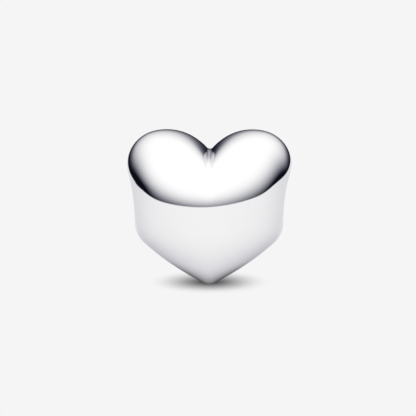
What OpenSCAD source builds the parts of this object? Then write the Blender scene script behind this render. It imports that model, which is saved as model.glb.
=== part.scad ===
// Heart charm: one solid silver bead, a puffed heart with a thread hole from side to side.
// The origin is the middle of the thread hole. X runs along the hole, the front faces -Y, Z is up.
// The front view is a chain of arcs that meet in line with each other. From the rim towards the
// front and the back that outline shrinks and rounds off into an oval, along a squared-off curve.

/* [Overall] */
// Width across the shoulders, the widest place
heart_w = 11.8; // [10:0.1:14]
// Height from the tip to the tops of the lobes
heart_h = 11.1; // [10.2:0.1:13]
// Depth from the front crown to the back crown
heart_d = 8.9; // [7:0.1:11]
// Height of both crowns above the tip, where the faces stand furthest out
crown_h = 5.5; // [5:0.1:6]

/* [Upper outline] */
// Where the top of each lobe lies, from 0 at the middle to 1 at the side
lobe_place = 0.51; // [0.46:0.01:0.54]
// Drop from the tops of the lobes to the bottom of the cleft
cleft_depth = 1.6; // [1.2:0.05:1.9]
// Radius at the bottom of the cleft
cleft_r = 0.2; // [0.1:0.05:0.4]
// Radius of the shoulders at the widest place
shoulder_r = 2.1; // [1:0.05:2.4]

/* [Lower outline] */
// Width across the lower corners: less than at the shoulders, so the sides lean inwards
corner_w = 10.4; // [9.6:0.1:11.4]
// Height of the lower corners' centres above the tip
corner_h = 4.5; // [4:0.05:5]
// Radius of the lower corners
corner_r = 1.65; // [0.8:0.05:2.2]
// Radius of the slight hollow along each side, between the shoulder and the lower corner
side_r = 52; // [20:1:200]
// Radius of the two long curves that run down to the tip
flank_r = 17.5; // [9:0.5:40]
// Radius of the tip
tip_r = 0.75; // [0.3:0.05:1.1]

/* [Puffed faces] */
// Squareness of the curve from front to back over the lobes and the tip: 2 is round
round_power = 2.4; // [2:0.1:3.2]
// Squareness of the same curve at the flat sides
side_power = 3.8; // [3:0.1:5]
// Half width of the oval that the faces round off into
oval_w = 5.6; // [4.8:0.1:6.2]
// Half height of that oval
oval_h = 4.9; // [4.3:0.1:5.5]

/* [Thread hole] */
// Diameter of the hole that the bracelet or cord passes through
hole_dia = 4.5; // [3:0.1:5]
// Height of the hole's centre above the tip
hole_h = 6.2; // [5.8:0.1:6.6]
// Radius of the rounded lips at both mouths
lip_r = 0.2; // [0.1:0.05:0.3]

/* [Smoothness] */
// Points along each arc of the outline
arc_points = 7; // [5:1:8]
// Rings from the rim to each crown
rings = 24; // [12:1:26]

/* [Hidden] */
silver = "#d4d6da";
hole_r = hole_dia / 2;
past = 1;

// Centres of the arcs in the right half of the front view, with heights above the tip.
// Each lobe's radius lets its arc run on into the cleft's own curve.
lobe_x = lobe_place * heart_w / 2;
lobe_r = (lobe_x * lobe_x + cleft_depth * cleft_depth) / (2 * cleft_depth) - cleft_r;
lobe_c = [lobe_x, heart_h - lobe_r];
lobe_start = acos((heart_w / 2 - shoulder_r - lobe_x) / (lobe_r - shoulder_r));
shoulder_c = lobe_c + (lobe_r - shoulder_r) * [cos(lobe_start), sin(lobe_start)];
corner_c = [corner_w / 2 - corner_r, corner_h];
side_c = meet(shoulder_c, side_r + shoulder_r, corner_c, side_r + corner_r);
tip_c = [0, tip_r];
flank_c = meet(tip_c, flank_r - tip_r, corner_c, flank_r - corner_r);
cleft_c = [0, heart_h - cleft_depth + cleft_r];
crown = [0, crown_h];

// Where the hole's axis comes out of the right side, and how far that side leans there
side_lean = asin((hole_h - side_c.y) / side_r);
mouth_x = side_c.x - side_r * cos(side_lean);

// The crossing of two circles that lies to the left of the way from the first to the second
function meet(first, first_r, second, second_r) =
    let (
        way = second - first,
        apart = norm(way),
        along = (apart * apart + first_r * first_r - second_r * second_r) / (2 * apart),
        aside = sqrt(first_r * first_r - along * along)
    )
    first + (along * way + aside * [-way.y, way.x]) / apart;

// The direction from one point to another, in degrees
function heading(from, to) = atan2(to.y - from.y, to.x - from.x);

// Points on an arc from one angle to another, without its last point
function arc(centre, r, from, to, count = arc_points) = [
    for (i = [0 : count - 1])
        let (a = from + (to - from) * i / count)
        centre + r * [cos(a), sin(a)]
];

// The right half of the outline, from the tip up to the bottom of the cleft
function right_half() =
    let (
        tip_end = heading(flank_c, tip_c),
        flank_end = heading(flank_c, corner_c),
        side_low = heading(corner_c, side_c),
        side_high = heading(shoulder_c, side_c),
        lobe_end = heading(lobe_c, cleft_c)
    )
    concat(
        arc(tip_c, tip_r, -90, tip_end, 4),
        arc(flank_c, flank_r, tip_end, flank_end),
        arc(corner_c, corner_r, flank_end, side_low),
        arc(side_c, side_r, side_low + 180, side_high + 180),
        arc(shoulder_c, shoulder_r, side_high, 0, 2),
        arc(shoulder_c, shoulder_r, 0, lobe_start),
        arc(lobe_c, lobe_r, lobe_start, 90),
        arc(lobe_c, lobe_r, 90, lobe_end),
        arc(cleft_c, cleft_r, lobe_end - 180, -90, 3)
    );

// The whole outline, seen from the crown
function outline() =
    let (
        right = right_half(),
        cleft = cleft_c - [0, cleft_r],
        left = [for (i = [len(right) - 1 : -1 : 1]) [-right[i].x, right[i].y]]
    )
    [for (p = concat(right, [cleft], left)) p - crown];

// The point of the oval that lies in the same direction from the crown as p
function on_oval(p) = p / norm([p.x / oval_w, p.y / oval_h]);

// How squared-off the curve from front to back is in the direction of p
function power_at(p) = round_power + (side_power - round_power) * pow(p.x / norm(p), 4);

// The place of outline point p on the ring of the given size, where 1 is the rim and 0 the crown
function ring_point(p, size, facing) =
    let (
        q = crown + size * (p + (1 - size) * (on_oval(p) - p)),
        power = power_at(p)
    )
    [q.x, facing * heart_d / 2 * pow(1 - pow(size, power), 1 / power), q.y - hole_h];

// Sizes of the rings from just inside the rim to just outside the crown
function ring_sizes() = [for (k = [1 : rings - 1]) pow(cos(90 * k / rings), 0.75)];

// The triangles between two neighbouring rings of n points, wound for an outward face
function band(n, first, second) = [
    for (i = [0 : n - 1])
        let (j = (i + 1) % n)
        for (t = [[first + i, second + i, second + j], [first + i, second + j, first + j]]) t
];

// The triangles between the innermost ring and the crown
function cap(n, ring, crown) = [for (i = [0 : n - 1]) [ring + i, crown, ring + (i + 1) % n]];

// The same triangles turned over
function turned(triangles) = [for (t = triangles) [t[0], t[2], t[1]]];

// The solid heart before the hole goes through it
module puffed_heart() {
    rim = outline();
    n = len(rim);
    sizes = ring_sizes();
    inner = len(sizes) * n;
    points = concat(
        [for (p = rim) ring_point(p, 1, 1)],
        [for (facing = [1, -1], s = sizes, p = rim) ring_point(p, s, facing)],
        [for (facing = [1, -1]) [0, facing * heart_d / 2, crown_h - hole_h]]
    );
    last = n + 2 * inner;
    // The rings behind the rim, then those in front of it
    back = [0, for (k = [0 : len(sizes) - 1]) n + k * n];
    front = [0, for (k = [0 : len(sizes) - 1]) n + inner + k * n];
    back_faces = concat(
        [for (k = [0 : len(sizes) - 1]) each band(n, back[k], back[k + 1])],
        cap(n, back[len(sizes)], last)
    );
    front_faces = concat(
        [for (k = [0 : len(sizes) - 1]) each band(n, front[k], front[k + 1])],
        cap(n, front[len(sizes)], last + 1)
    );
    polyhedron(points, concat(turned(back_faces), front_faces));
}

// The cutter that rounds one mouth of the hole, set square to the leaning side
module lip_cutter() {
    translate([mouth_x, 0, 0])
        rotate([0, side_lean, 0])
            rotate([0, 90, 0])
                rotate_extrude($fn = 96)
                    difference() {
                        translate([0, -lip_r])
                            square([hole_r + lip_r, lip_r + past]);
                        translate([hole_r + lip_r, -lip_r])
                            circle(r = lip_r, $fn = 48);
                    }
}

module heart_charm() {
    color(silver)
        difference() {
            puffed_heart();
            rotate([0, 90, 0])
                cylinder(r = hole_r, h = heart_w + 2 * past, center = true, $fn = 96);
            lip_cutter();
            mirror([1, 0, 0])
                lip_cutter();
        }
}

heart_charm();
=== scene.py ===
import math

import bpy
import numpy as np
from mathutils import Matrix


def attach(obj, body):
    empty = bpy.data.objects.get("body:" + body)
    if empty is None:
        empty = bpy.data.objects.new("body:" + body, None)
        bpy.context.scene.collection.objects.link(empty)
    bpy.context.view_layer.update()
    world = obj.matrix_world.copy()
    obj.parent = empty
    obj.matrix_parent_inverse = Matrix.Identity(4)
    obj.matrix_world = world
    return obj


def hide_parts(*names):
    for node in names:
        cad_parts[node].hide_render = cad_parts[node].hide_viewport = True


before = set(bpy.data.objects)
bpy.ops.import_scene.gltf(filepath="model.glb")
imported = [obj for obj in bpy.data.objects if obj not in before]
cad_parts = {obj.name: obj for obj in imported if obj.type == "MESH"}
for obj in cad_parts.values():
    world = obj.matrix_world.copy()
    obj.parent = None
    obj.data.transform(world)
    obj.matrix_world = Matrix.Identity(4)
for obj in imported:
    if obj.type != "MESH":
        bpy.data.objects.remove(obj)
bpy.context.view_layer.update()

mm = 0.001


def linearColour(hexText):
    # sRGB hex to linear RGBA
    srgb = [int(hexText[i:i + 2], 16) / 255 for i in (1, 3, 5)]
    return [c / 12.92 if c <= 0.04045 else ((c + 0.055) / 1.055) ** 2.4 for c in srgb] + [1.0]


def addNode(tree, kind, settings=None, links=None):
    # settings: a property's name, or an input's name or number; links: input -> output socket
    node = tree.nodes.new(kind)
    for key, value in (settings or {}).items():
        if isinstance(key, str) and hasattr(node, key):
            setattr(node, key, value)
        else:
            node.inputs[key].default_value = value
    for key, socket in (links or {}).items():
        tree.links.new(socket, node.inputs[key])
    return node


def newMaterial(name):
    material = bpy.data.materials.new(name)
    material.use_nodes = True
    material.node_tree.nodes.clear()
    return material, material.node_tree


def addObject(name, data):
    added = bpy.data.objects.new(name, data)
    bpy.context.scene.collection.objects.link(added)
    return added


# The heart, in mm. Width, depth and hole are those of the CAD source. The height, the outline and
# the domed faces are drawn a little closer to the photo, within the box of the CAD part.
heart = {
    "width": 11.8,
    "height": 11.0,
    "depth": 8.9,
    "crownHeight": 5.75,        # of both crowns, where the faces stand furthest out, above the tip
    "lobePlace": 0.545,         # where the top of each lobe lies: 0 is the middle, 1 the side
    "cleftDepth": 1.64,
    "cleftRadius": 0.25,
    "shoulderRadius": 2.45,
    "cornerWidth": 10.7,        # over both lower corners
    "cornerHeight": 4.6,        # of their centres above the tip
    "cornerRadius": 1.85,
    "sideRadius": 110.0,        # of the slight hollow along each side
    "flankRadius": 25.0,        # of the long curves down to the tip
    "tipRadius": 0.8,
    "domeWidth": 7.6,           # half the width of the plain dome that the rim cuts off
    "domeHeight": 7.4,          # half its height
    "edgePower": 6.0,           # how tightly dome and wall meet: the higher, the tighter
    "wallPower": 9.5,           # the same at the flat sides
    "cleftPower": 4.4,          # the same above the crown
    "cleftFocus": 8,            # how closely that keeps to the way straight up
    "notchPower": 5.9,          # the same in the cleft's foot
    "notchFocus": 120,
    "holeDiameter": 4.5,
    "holeHeight": 6.2,          # of its axis above the tip
    "lipRadius": 0.2,
    "around": 300,              # grid steps around the thread hole
    "across": 220,              # grid steps over the outside, from one mouth to the other
    "crowding": 0.5,            # how much those steps crowd towards the middle, where the cleft is
    "lipSteps": 8,
    "boreSteps": 12,
    "arcSteps": 400,            # points along each arc of the outline
}


def arcPoints(centre, radius, start, stop, count):
    # points on a circle from one angle to another, last one left out
    angle = np.radians(start + (stop - start) * np.arange(count) / count)
    return np.stack([centre[0] + radius * np.cos(angle), centre[1] + radius * np.sin(angle)], axis=1)


def heading(start, end):
    # the direction from one point to another, in degrees
    return math.degrees(math.atan2(end[1] - start[1], end[0] - start[0]))


def circlesMeet(first, firstRadius, second, secondRadius):
    # the crossing of two circles to the left of the way from the first to the second
    way = second - first
    apart = np.hypot(*way)
    along = (apart ** 2 + firstRadius ** 2 - secondRadius ** 2) / (2 * apart)
    aside = math.sqrt(firstRadius ** 2 - along ** 2)
    return first + (along * way + aside * np.array([-way[1], way[0]])) / apart


def rimOutline(s):
    # front view of the rim, heights above the tip: a chain of arcs that run on into each other,
    # from the tip over flank, corner, side, shoulder and lobe to the cleft, then mirrored
    n = s["arcSteps"]
    lobeX = s["lobePlace"] * s["width"] / 2
    lobeRadius = (lobeX ** 2 + s["cleftDepth"] ** 2) / (2 * s["cleftDepth"]) - s["cleftRadius"]
    lobe = np.array([lobeX, s["height"] - lobeRadius])
    reach = lobeRadius - s["shoulderRadius"]
    lobeStart = math.degrees(math.acos((s["width"] / 2 - s["shoulderRadius"] - lobeX) / reach))
    lean = math.radians(lobeStart)
    shoulder = lobe + reach * np.array([math.cos(lean), math.sin(lean)])
    corner = np.array([s["cornerWidth"] / 2 - s["cornerRadius"], s["cornerHeight"]])
    side = circlesMeet(shoulder, s["sideRadius"] + s["shoulderRadius"],
                       corner, s["sideRadius"] + s["cornerRadius"])
    tip = np.array([0, s["tipRadius"]])
    flank = circlesMeet(tip, s["flankRadius"] - s["tipRadius"],
                        corner, s["flankRadius"] - s["cornerRadius"])
    cleft = np.array([0, s["height"] - s["cleftDepth"] + s["cleftRadius"]])
    tipEnd, flankEnd, lobeEnd = heading(flank, tip), heading(flank, corner), heading(lobe, cleft)
    sideLow, sideHigh = heading(corner, side), heading(shoulder, side)
    right = np.concatenate([
        arcPoints(tip, s["tipRadius"], -90, tipEnd, n),
        arcPoints(flank, s["flankRadius"], tipEnd, flankEnd, n),
        arcPoints(corner, s["cornerRadius"], flankEnd, sideLow, n),
        arcPoints(side, s["sideRadius"], sideLow + 180, sideHigh + 180, n),
        arcPoints(shoulder, s["shoulderRadius"], sideHigh, lobeStart, n),
        arcPoints(lobe, lobeRadius, lobeStart, lobeEnd, n),
        arcPoints(cleft, s["cleftRadius"], lobeEnd - 180, -90, n),
    ])
    bottom = cleft - [0, s["cleftRadius"]]
    return np.concatenate([right, [bottom], right[:0:-1] * [-1, 1]])


def heartMeasure(s):
    # returns a function of points (x, y, z): below 0 inside the heart, 0 on its surface
    # size = reach from the crown over the rim's reach, share = the rim's reach over the dome's;
    # the measure is (2 y / depth) ** 2 + (size * share) ** 2
    #   - (1 - size ** power * (1 - share ** power)) ** (2 / power), and more beyond the rim
    # a high power leaves the plain dome as it is and only rounds the edge where it meets the wall;
    # it is highest at the flat sides, lowest above the crown, and a little higher in the cleft's foot
    rim = rimOutline(s) - [0, s["crownHeight"]]
    turn = np.unwrap(np.arctan2(rim[:, 1], rim[:, 0]))
    rimReach = np.hypot(rim[:, 0], rim[:, 1])
    crownZ = s["crownHeight"] - s["holeHeight"]

    def measure(x, y, z):
        up = z - crownZ
        reach = np.hypot(x, up) + 1e-9
        rimHere = np.interp(np.arctan2(up, x), turn, rimReach, period=2 * math.pi)
        size = np.minimum(reach / rimHere, 1)
        share = rimHere / reach * np.hypot(x / s["domeWidth"], up / s["domeHeight"])
        upright = np.maximum(up / reach, 0)
        power = (s["edgePower"] + (s["wallPower"] - s["edgePower"]) * (x / reach) ** 2
                 + (s["cleftPower"] - s["edgePower"]) * upright ** s["cleftFocus"]
                 + (s["notchPower"] - s["cleftPower"]) * upright ** s["notchFocus"])
        wall = (1 - size ** power * (1 - share ** power)) ** (2 / power)
        return (2 * y / s["depth"]) ** 2 + (size * share) ** 2 - wall + np.maximum(reach / rimHere - 1, 0)

    return measure


def solveOutwards(value, reach, steps=46):
    # halves the span from 0 to reach until value(t) changes sign there, for whole arrays at once
    low, high = np.zeros_like(reach), reach
    for _ in range(steps):
        middle = (low + high) / 2
        inside = value(middle) < 0
        low, high = np.where(inside, middle, low), np.where(inside, high, middle)
    return (low + high) / 2


def charmGrid(s):
    # a closed grid around the thread hole: rows turn about the X axis, columns run over the outside
    # along rays from the hole's centre, round the left lip, back through the bore, round the right lip
    measure = heartMeasure(s)
    bore, lip = s["holeDiameter"] / 2, s["lipRadius"]
    turn = 2 * math.pi * np.arange(s["around"]) / s["around"]
    outY, outZ = np.cos(turn)[:, None], np.sin(turn)[:, None]
    mouth = solveOutwards(lambda x: measure(x, (bore + lip) * outY, (bore + lip) * outZ),
                          np.full((s["around"], 1), s["width"]))
    start = np.arctan2(bore + lip, mouth)
    step = np.linspace(-1, 1, s["across"] + 1)[None]
    step = (1 - s["crowding"]) * step + s["crowding"] * step ** 3
    tilt = start + (math.pi - 2 * start) * (1 + step) / 2
    dirX, dirR = np.cos(tilt), np.sin(tilt)
    ray = solveOutwards(lambda t: measure(t * dirX, t * dirR * outY, t * dirR * outZ),
                        np.full(tilt.shape, s["width"]))
    outside = np.stack([ray * dirX, ray * dirR], axis=-1)
    bend = np.linspace(math.pi / 2, 0, s["lipSteps"] + 1)[None, 1:]
    lipX = mouth - lip + lip * np.sin(bend)
    lipR = bore + lip * (1 - np.cos(bend)) + 0 * mouth
    leftLip = np.stack([-lipX, lipR], axis=-1)
    along = np.linspace(-1, 1, s["boreSteps"] + 1)[None, 1:-1]
    inside = np.stack([(mouth - lip) * along, bore + 0 * mouth * along], axis=-1)
    rightLip = np.stack([lipX, lipR], axis=-1)[:, ::-1]
    path = np.concatenate([outside, leftLip, inside, rightLip], axis=1)
    x, r = path[..., 0], path[..., 1]
    return np.stack([x, r * outY, r * outZ], axis=-1)


def closedGridMesh(name, points, scale):
    # a grid that closes on itself both ways becomes quads that face outwards
    rows, columns = points.shape[:2]
    index = np.arange(rows * columns).reshape(rows, columns)
    nextRow, nextColumn = np.roll(index, -1, axis=0), np.roll(index, -1, axis=1)
    corner = np.roll(nextRow, -1, axis=1)
    quads = np.stack([index, nextRow, corner, nextColumn], axis=-1).reshape(-1, 4)
    mesh = bpy.data.meshes.new(name)
    mesh.vertices.add(rows * columns)
    mesh.vertices.foreach_set("co", (points * scale).astype(np.float32).ravel())
    mesh.loops.add(quads.size)
    mesh.loops.foreach_set("vertex_index", quads.astype(np.int32).ravel())
    mesh.polygons.add(len(quads))
    mesh.polygons.foreach_set("loop_start", np.arange(0, quads.size, 4, dtype=np.int32))
    mesh.polygons.foreach_set("loop_total", np.full(len(quads), 4, dtype=np.int32))
    mesh.polygons.foreach_set("use_smooth", np.ones(len(quads), dtype=bool))
    mesh.update(calc_edges=True)
    mesh.validate()
    return mesh


silver = {
    "colour": "#f6f6f7",        # bright, almost neutral white metal
    "roughness": 0.015,
    "haze": 0.02,               # how much duller the hazier patches are
    "hazeSize": 1.6,            # mm
    "hazeDetail": 3.0,
    "hazeStart": 0.35,          # where on the noise's scale the haze begins
    "hazeFull": 0.75,           # and where it is full
    "waveSize": 2.6,            # mm between the soft swells that hand polishing leaves
    "waveHeight": 0.00006,      # mm
    "boreRoughness": 0.22,
    "boreLines": 0.12,          # mm between the reamer's rings in the bore
    "boreWander": 1.5,          # how much the rings stray
    "boreDetail": 2.0,
    "boreRelief": 0.004,        # mm from ring to furrow
    "boreStrength": 0.25,       # how much of that relief shows
}
bandSpan = 0.3      # m between the bands of a wave texture at scale 1, roughly


def polishedSilver():
    # sterling silver, cast, then buffed to a mirror: sharp reflections with a breath of haze
    material, tree = newMaterial("polishedSterlingSilver")
    place = addNode(tree, "ShaderNodeTexCoord")
    haze = addNode(tree, "ShaderNodeTexNoise",
                   {"Scale": 1 / (silver["hazeSize"] * mm), "Detail": silver["hazeDetail"]},
                   {"Vector": place.outputs["Object"]})
    rough = addNode(tree, "ShaderNodeMapRange",
                    {"From Min": silver["hazeStart"], "From Max": silver["hazeFull"],
                     "To Min": silver["roughness"], "To Max": silver["roughness"] + silver["haze"]},
                    {"Value": haze.outputs["Fac"]})
    wave = addNode(tree, "ShaderNodeTexNoise", {"Scale": 1 / (silver["waveSize"] * mm), "Detail": 0.0},
                   {"Vector": place.outputs["Object"]})
    bump = addNode(tree, "ShaderNodeBump", {"Strength": 1.0, "Distance": silver["waveHeight"] * mm},
                   {"Height": wave.outputs["Fac"]})
    shader = addNode(tree, "ShaderNodeBsdfPrincipled",
                     {"Base Color": linearColour(silver["colour"]), "Metallic": 1.0},
                     {"Roughness": rough.outputs["Result"], "Normal": bump.outputs["Normal"]})
    addNode(tree, "ShaderNodeOutputMaterial", None, {"Surface": shader.outputs["BSDF"]})
    return material


def reamedSilver():
    # the same silver inside the hole, reamed and tumbled: satin, with faint rings around the bore
    material, tree = newMaterial("reamedSterlingSilver")
    place = addNode(tree, "ShaderNodeTexCoord")
    rings = addNode(tree, "ShaderNodeTexWave",
                    {"wave_type": "BANDS", "bands_direction": "X",
                     "Scale": bandSpan / (silver["boreLines"] * mm),
                     "Distortion": silver["boreWander"], "Detail": silver["boreDetail"]},
                    {"Vector": place.outputs["Object"]})
    bump = addNode(tree, "ShaderNodeBump",
                   {"Strength": silver["boreStrength"], "Distance": silver["boreRelief"] * mm},
                   {"Height": rings.outputs["Fac"]})
    shader = addNode(tree, "ShaderNodeBsdfPrincipled",
                     {"Base Color": linearColour(silver["colour"]), "Metallic": 1.0,
                      "Roughness": silver["boreRoughness"]}, {"Normal": bump.outputs["Normal"]})
    addNode(tree, "ShaderNodeOutputMaterial", None, {"Surface": shader.outputs["BSDF"]})
    return material


def makeCharm():
    # the whole charm in one mesh, mirror-polished outside and satin in the bore
    points = charmGrid(heart)
    mesh = closedGridMesh("heartCharm", points, mm)
    charm = addObject("heartCharm", mesh)
    mesh.materials.append(polishedSilver())
    mesh.materials.append(reamedSilver())
    rows, columns = points.shape[:2]
    column = np.tile(np.arange(columns), rows)
    firstInside = heart["across"] + heart["lipSteps"]
    inBore = (column >= firstInside) & (column < firstInside + heart["boreSteps"])
    mesh.polygons.foreach_set("material_index", inBore.astype(np.int32))
    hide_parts("heart_charm")
    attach(charm, "root")
    print("charm made:", rows * columns, "faces")


# The studio: a pale table that runs into a pale backdrop a little way off, dark surroundings just
# above it and a long softbox overhead. Each list of waves gives a height or a level that changes
# with the direction a, turned from the camera's side to the right:
# first + second * cos(a) + third * sin(a) + fourth * cos(2 a) + fifth * sin(2 a), and so on
studio = {
    "floorColour": "#f5f5f5",
    "floorReach": 62.0,         # mm
    "floorAround": 96,          # grid steps around the table
    "floorRings": 80,           # and outwards
    "floorCrowding": 1.5,       # how much the rings crowd towards the tip
    "fadeStart": -0.4,          # mm from the tip; from here outwards the table runs into the backdrop, its glow painting light over the outer part of the charm's shadow
    "fadeEnd": 4.5,
    "paleReach": 3.0,           # mm over which the metal goes over to seeing the table at paleLevel
    "footShade": 0.85,           # how much darker the metal sees the table right under it: painted shade
    "footReach": 3.0,           # mm over which that painted shade fades out in front and behind
    "footAside": 5.2,           # mm over which it fades out at the sides
    "footCool": 0.16,           # how much bluer the painted shade is there
    "shellRadius": 400.0,       # mm
    "shellRows": 721,
    "shellColumns": 360,
    "shellTop": 89.9,           # degrees up and down that the shell reaches
    # waves: top of the pale surroundings, in degrees up
    "horizon": [-2.56, 2.58, 2.84, -3.02, 0.25, -2.12, 0.02, -0.32, 0.25],
    "horizonSoft": 0.3,         # half the width of its soft line, in degrees
    # waves: where the softbox's glow begins, in degrees up
    "lightLow": [-2.38, 3.63, 1.12, -9.34, 1.81, -0.45, -0.58],
    # waves: from there to the glow's full level, in degrees
    "lightSpan": [57.68, -33.80, 0.13, -1.56, 2.08, -3.20, 1.00],
    "lightRise": 4.00,          # how quickly the glow levels off towards the top
    "lightEase": 2.12,          # how softly it begins
    "lightLevel": 1.09,
    "darkLevel": 0.004,
    "rearLow": -6.0,            # behind the charm the glow only begins between these heights, in degrees
    "rearHigh": 18.0,
    "rearBlend": 0.8,           # how far round to the back that holds in full, as a cosine
    # waves: level of the pale surroundings
    "paleLevel": [0.835, 0.085, 0.0, 0.045, 0.0],
    "coolness": 0.08,           # how much bluer the half dark parts are
    "lampFoot": 52.0,           # degrees: the lamp over the table hangs above this
    "lampSoft": 0.1,            # half the width of its soft edge, as a sine
    "lampLevel": 2.64,
}

camera = {
    "turn": 0.8,                # degrees to the right of straight in front
    "elevation": 11.1,          # degrees
    "distance": 500.0,          # mm
    "frame": 416,               # pixels across the picture
    "pixel": 0.0716,            # mm a pixel at the charm
    "centreX": 209.4,           # the pixel that the charm's middle falls on
    "aimHeight": -0.8,          # mm above the hole's axis
    "sensor": 36,               # mm
}


def smoothStep(low, high, value):
    t = np.clip((value - low) / (high - low), 0, 1)
    return t * t * (3 - 2 * t)


def waves(terms, around):
    # the sum of the waves in the settings' order
    total = terms[0] + 0 * around
    for i, size in enumerate(terms[1:]):
        turns = i // 2 + 1
        total = total + size * (np.sin(turns * around) if i % 2 else np.cos(turns * around))
    return total


def studioGlow(way):
    # brightness of the studio in the given directions, x to the right of the camera and y away from it
    around = np.arctan2(way[..., 0], -way[..., 1])
    up = np.degrees(np.arcsin(np.clip(way[..., 2], -1, 1)))
    ramp = np.clip((up - waves(studio["lightLow"], around)) / waves(studio["lightSpan"], around), 0, 1)
    glow = (1 - (1 - ramp) ** studio["lightRise"]) ** studio["lightEase"]
    rear = smoothStep(0.0, studio["rearBlend"], -np.cos(around))
    glow = glow * (1 - rear * (1 - smoothStep(studio["rearLow"], studio["rearHigh"], up)))
    above = studio["darkLevel"] + studio["lightLevel"] * glow
    pale = waves(studio["paleLevel"], around)
    soft = studio["horizonSoft"]
    return above + (pale - above) * smoothStep(soft, -soft, up - waves(studio["horizon"], around))


def paintPoints(mesh, name, level, blue):
    # one colour for each point: the level in red and green, and its own blue
    tone = mesh.attributes.new(name, "FLOAT_COLOR", "POINT")
    colour = np.stack([level, level, blue, 1 + 0 * level], axis=-1)
    tone.data.foreach_set("color", colour.astype(np.float32).ravel())


def directOnly(tree):
    # 1 where the camera looks, at once or by way of the metal, and 0 once a ray has left a matt surface,
    # so that the charm's shadow isn't filled by what its own polish throws back
    path = addNode(tree, "ShaderNodeLightPath")
    return addNode(tree, "ShaderNodeMath", {"operation": "LESS_THAN", 1: 0.5},
                   {0: path.outputs["Diffuse Depth"]}).outputs[0]


def inSight(tree, path):
    # 1 for what the camera sees, at once or in the metal
    return addNode(tree, "ShaderNodeMath", {"operation": "MAXIMUM"},
                   {0: path.outputs["Is Camera Ray"], 1: path.outputs["Is Glossy Ray"]}).outputs[0]


def makeFloor():
    # round matt sheet that runs into the backdrop a little way from the charm; the metal sees it with
    # painted light and shade:
    # paler towards the camera, where the light comes from, and darker right under the charm, a painted
    # shade
    count, rings = studio["floorAround"], studio["floorRings"]
    turn = 2 * math.pi * np.arange(count)[None] / count
    reach = studio["floorReach"] * (np.arange(1, rings + 1)[:, None] / rings) ** studio["floorCrowding"]
    points = np.stack([reach * np.cos(turn), reach * np.sin(turn),
                       0 * reach * turn - heart["holeHeight"]], axis=-1)
    index = np.arange(rings * count).reshape(rings, count)
    after = np.roll(index, -1, axis=1)
    quads = np.stack([index[:-1], index[1:], after[1:], after[:-1]], axis=-1).reshape(-1, 4)
    mesh = bpy.data.meshes.new("paleFloor")
    mesh.from_pydata((points.reshape(-1, 3) * mm).tolist(), [], quads.tolist() + [index[0].tolist()])
    floorTone = linearColour(studio["floorColour"])[0]
    around = np.arctan2(points[..., 0], -points[..., 1]) + math.radians(camera["turn"])
    # the share is painted light and shade in what the metal mirrors: paler towards the camera, where the
    # light comes from, and darker and a little bluer right under the charm, a painted shade
    pale = np.minimum(waves(studio["paleLevel"], around) / floorTone, 1 / floorTone)
    near = smoothStep(0, studio["paleReach"], reach)
    shadeReach = studio["footReach"] + (studio["footAside"] - studio["footReach"]) * np.sin(around) ** 2
    paintedTone = (near * pale + 1 - near) * (1 - studio["footShade"] * np.exp(-reach / shadeReach))
    paintPoints(mesh, "share", paintedTone, paintedTone * (1 + studio["footCool"] * np.maximum(1 - paintedTone, 0)))
    # the fade is painted light: the table glows at the backdrop's level instead of being lit, which
    # lightens the outer part of the charm's shadow, for the camera and the metal
    fade = mesh.attributes.new("fade", "FLOAT", "POINT")
    faded = smoothStep(studio["fadeStart"], studio["fadeEnd"], reach) + 0 * turn
    fade.data.foreach_set("value", faded.astype(np.float32).ravel())

    # matt pale card: its own colour for the camera, and that colour times the share, the painted light
    # and shade, for the metal
    material, tree = newMaterial("mattPaleSheet")
    path = addNode(tree, "ShaderNodeLightPath")
    share = addNode(tree, "ShaderNodeAttribute", {"attribute_name": "share"})
    # a Mix node's colours are its inputs 6 and 7 and its output 2
    shown = addNode(tree, "ShaderNodeMix", {"data_type": "RGBA", 6: [1.0, 1.0, 1.0, 1.0]},
                    {0: path.outputs["Is Glossy Ray"], 7: share.outputs["Color"]})
    tinted = addNode(tree, "ShaderNodeVectorMath",
                     {"operation": "MULTIPLY", 0: linearColour(studio["floorColour"])[:3]},
                     {1: shown.outputs[2]})
    colour = addNode(tree, "ShaderNodeVectorMath", {"operation": "SCALE"},
                     {0: tinted.outputs["Vector"], "Scale": directOnly(tree)})
    card = addNode(tree, "ShaderNodeBsdfDiffuse", None, {"Color": colour.outputs["Vector"]})
    backdrop = addNode(tree, "ShaderNodeEmission", {"Strength": 1.0}, {"Color": colour.outputs["Vector"]})
    edge = addNode(tree, "ShaderNodeAttribute", {"attribute_name": "fade"})
    gone = addNode(tree, "ShaderNodeMath", {"operation": "MULTIPLY"},
                   {0: edge.outputs["Fac"], 1: inSight(tree, path)})
    mix = addNode(tree, "ShaderNodeMixShader", None,
                  {0: gone.outputs[0], 1: card.outputs[0], 2: backdrop.outputs[0]})
    addNode(tree, "ShaderNodeOutputMaterial", None, {"Surface": mix.outputs[0]})
    mesh.materials.append(material)
    addObject("paleFloor", mesh)
    print("table made")


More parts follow.
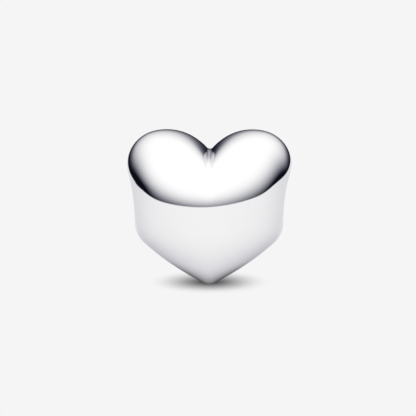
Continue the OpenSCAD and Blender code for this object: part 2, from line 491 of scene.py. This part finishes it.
def makeShell():
    # what the metal mirrors beyond the table: pale up to the horizon, dark just above it, and a softbox
    # from front to back overhead
    rows, columns = studio["shellRows"], studio["shellColumns"]
    up = np.radians(np.linspace(-studio["shellTop"], studio["shellTop"], rows))[:, None]
    around = 2 * math.pi * np.arange(columns)[None] / columns
    way = np.stack([np.cos(up) * np.cos(around), np.cos(up) * np.sin(around),
                    np.sin(up) + 0 * around], axis=-1)
    index = np.arange(rows * columns).reshape(rows, columns)
    after = np.roll(index, -1, axis=1)
    quads = np.stack([index[:-1], after[:-1], after[1:], index[1:]], axis=-1).reshape(-1, 4)
    mesh = bpy.data.meshes.new("studioShell")
    mesh.from_pydata((way.reshape(-1, 3) * studio["shellRadius"] * mm).tolist(), [], quads.tolist())
    # the half dark parts are a little blue: blue = level + coolness * root(level) * (1 - level)
    level = studioGlow(way)
    blue = level + studio["coolness"] * np.sqrt(level) * np.maximum(1 - level, 0)
    paintPoints(mesh, "glow", level, blue)
    material, tree = newMaterial("studioLight")
    tone = addNode(tree, "ShaderNodeAttribute", {"attribute_name": "glow"})
    light = addNode(tree, "ShaderNodeEmission", None,
                    {"Color": tone.outputs["Color"], "Strength": directOnly(tree)})
    addNode(tree, "ShaderNodeOutputMaterial", None, {"Surface": light.outputs[0]})
    mesh.materials.append(material)
    shell = addObject("studioShell", mesh)
    shell.rotation_euler[2] = math.radians(camera["turn"])
    shell.visible_camera = False
    shell.visible_diffuse = False
    shell.visible_transmission = False
    shell.visible_shadow = False
    print("surroundings made")


def makeWorld():
    # a soft white lamp over the table, and a pale backdrop wherever it is seen
    world = bpy.data.worlds.new("softWhiteRoom")
    bpy.context.scene.world = world
    world.use_nodes = True
    tree = world.node_tree
    tree.nodes.clear()
    path = addNode(tree, "ShaderNodeLightPath")
    seen = addNode(tree, "ShaderNodeMath", {"operation": "MAXIMUM"},
                   {0: inSight(tree, path), 1: path.outputs["Is Transmission Ray"]})
    place = addNode(tree, "ShaderNodeTexCoord")
    height = addNode(tree, "ShaderNodeSeparateXYZ", None, {"Vector": place.outputs["Generated"]})
    foot = math.sin(math.radians(studio["lampFoot"]))
    level = addNode(tree, "ShaderNodeMapRange",
                    {"From Min": foot - studio["lampSoft"], "From Max": foot + studio["lampSoft"],
                     "To Min": 0.0, "To Max": studio["lampLevel"]}, {"Value": height.outputs["Z"]})
    lamp = addNode(tree, "ShaderNodeBackground", {"Color": linearColour("#ffffff")},
                   {"Strength": level.outputs["Result"]})
    backdrop = addNode(tree, "ShaderNodeBackground", {"Color": linearColour(studio["floorColour"])},
                       {"Strength": directOnly(tree)})
    mix = addNode(tree, "ShaderNodeMixShader", None,
                  {0: seen.outputs[0], 1: lamp.outputs[0], 2: backdrop.outputs[0]})
    addNode(tree, "ShaderNodeOutputWorld", None, {"Surface": mix.outputs[0]})
    print("lamp and backdrop made")


def makeCamera():
    # a long lens from slightly above, a little to the right of straight in front
    turn, elevation = math.radians(camera["turn"]), math.radians(camera["elevation"])
    away = np.array([math.sin(turn) * math.cos(elevation), -math.cos(turn) * math.cos(elevation),
                     math.sin(elevation)])
    right = np.array([math.cos(turn), math.sin(turn), 0])
    aside = right * (camera["centreX"] - camera["frame"] / 2) * camera["pixel"]
    aim = np.array([0, 0, camera["aimHeight"]]) - aside
    data = bpy.data.cameras.new("studioCamera")
    data.sensor_width = camera["sensor"]
    data.lens = camera["sensor"] * camera["distance"] / (camera["frame"] * camera["pixel"])
    data.clip_start = 0.01
    data.clip_end = 10
    view = addObject("studioCamera", data)
    view.location = (aim + away * camera["distance"]) * mm
    view.rotation_euler = (math.pi / 2 - elevation, 0, turn)
    bpy.context.scene.camera = view
    print("camera set")


makeCharm()
makeFloor()
makeShell()
makeWorld()
makeCamera()
bpy.context.scene.view_settings.view_transform = "Standard"
